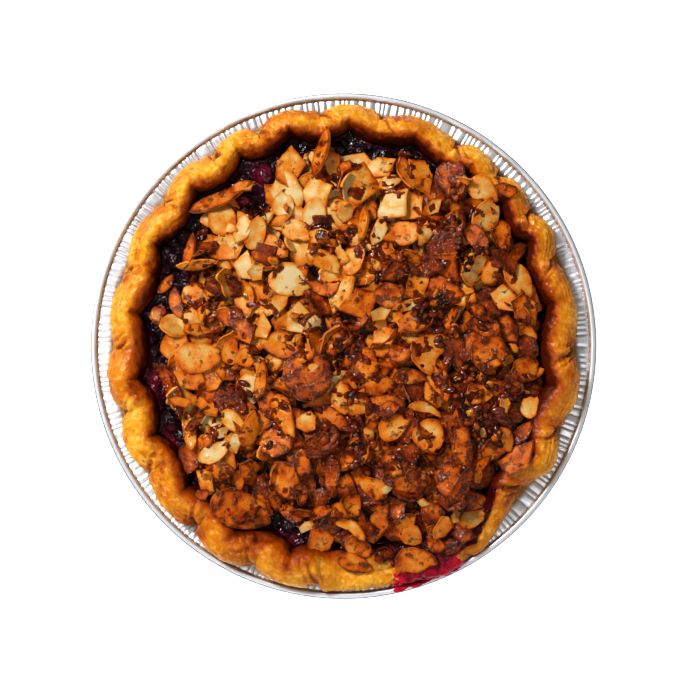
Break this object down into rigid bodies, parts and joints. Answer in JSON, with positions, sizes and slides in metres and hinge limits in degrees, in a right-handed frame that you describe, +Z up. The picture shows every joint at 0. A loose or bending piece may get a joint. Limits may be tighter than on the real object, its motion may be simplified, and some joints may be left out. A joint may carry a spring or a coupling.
{
  "type": "blueberry pie",
  "caption": "Small round blueberry pie with a fluted pastry edge, glossy berry filling and a caramelised sliced-almond topping, in its crimped foil tin.",
  "frame": {"origin": "middle of the underside of the foil tin's flat base, on the surface it stands on", "axes": "+Z up out of the pie; +X to the right and +Y to the back as the pie is seen from straight above"},
  "size_m": [0.1648, 0.1648, 0.0432],
  "materials": {
    "foil": "bright rolled foil, crimped",
    "pastry": null,
    "jam": null,
    "berry": null,
    "almond": null
  },
  "bodies": {
    "root": {"tin": "foil", "crust": "pastry", "filling": "jam", "almond_topping": "almond", "berry_blush": "berry", "berry_west": "berry", "berry_northwest": "berry", "berry_notch": "berry", "berry_crimson_large": "berry", "berry_crimson_small": "berry", "berry_north_large": "berry", "berry_north": "berry", "berry_north_small": "berry", "berry_crimson_west": "berry", "berry_southwest": "berry", "berry_south": "berry"}
  },
  "joints": []
}
